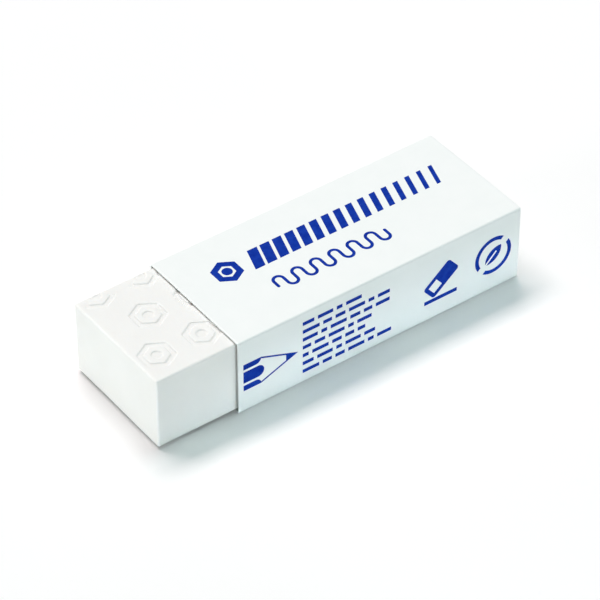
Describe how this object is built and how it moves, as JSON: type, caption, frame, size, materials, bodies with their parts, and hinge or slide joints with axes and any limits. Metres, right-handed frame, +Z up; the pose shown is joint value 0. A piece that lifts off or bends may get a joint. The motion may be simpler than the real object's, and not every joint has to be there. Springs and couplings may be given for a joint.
{
  "type": "block eraser",
  "caption": "White rubber block eraser in a folded card sleeve with a blue print; the block slides along the sleeve and out of either end.",
  "frame": {"origin": "on the resting plane, at the middle of the whole length and of the sleeve's width", "axes": "+X along the eraser, from the bare end of the block towards the sleeve's far mouth; -Y towards the printed long side; +Z up"},
  "size_m": [0.0702, 0.0239, 0.0145],
  "materials": {
    "rubber": "matte and slightly waxy, with a shallow pressed pattern on top",
    "card": "smooth coated white card with a faint satin sheen and bare cut edges",
    "ink": "flat blue printing ink"
  },
  "bodies": {
    "sleeve": {"card_sleeve": "card", "top_print": "ink", "side_print": "ink"},
    "block": {"eraser_block": "rubber"}
  },
  "joints": [
    {"name": "block_slide", "type": "slide", "parent": "sleeve", "child": "block", "axis": [1, 0, 0], "range_m": [-0.051, 0.071]}
  ]
}
